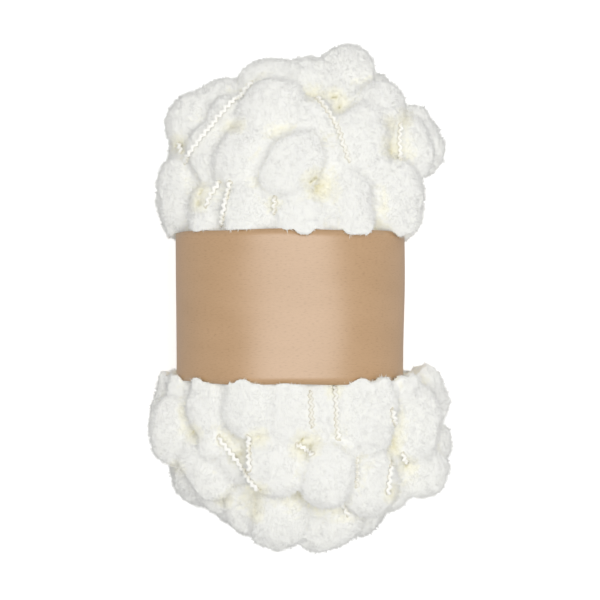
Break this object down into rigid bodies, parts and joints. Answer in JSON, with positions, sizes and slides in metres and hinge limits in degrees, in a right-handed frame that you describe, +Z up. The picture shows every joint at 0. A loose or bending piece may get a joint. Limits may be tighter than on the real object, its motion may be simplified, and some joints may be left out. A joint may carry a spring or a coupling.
{
  "type": "wound hank of pompom string with a paper band",
  "caption": "Hank of fluffy white pompom string, wound lengthwise and held round the waist by a bare kraft-paper band, lying on its back.",
  "frame": {"origin": "on the floor, under the middle of the hank's box", "axes": "X across the hank, +Y along it towards its rounder end, +Z up"},
  "size_m": [0.1351, 0.2262, 0.0969],
  "materials": {
    "pompom_string": "matte fluffy chenille, warm white",
    "kraft_paper": "uncoated brown kraft paper",
    "carrier_cord": "matte braided cord, ivory white"
  },
  "bodies": {
    "root": {"hank": "pompom_string", "band": "kraft_paper"}
  },
  "joints": []
}
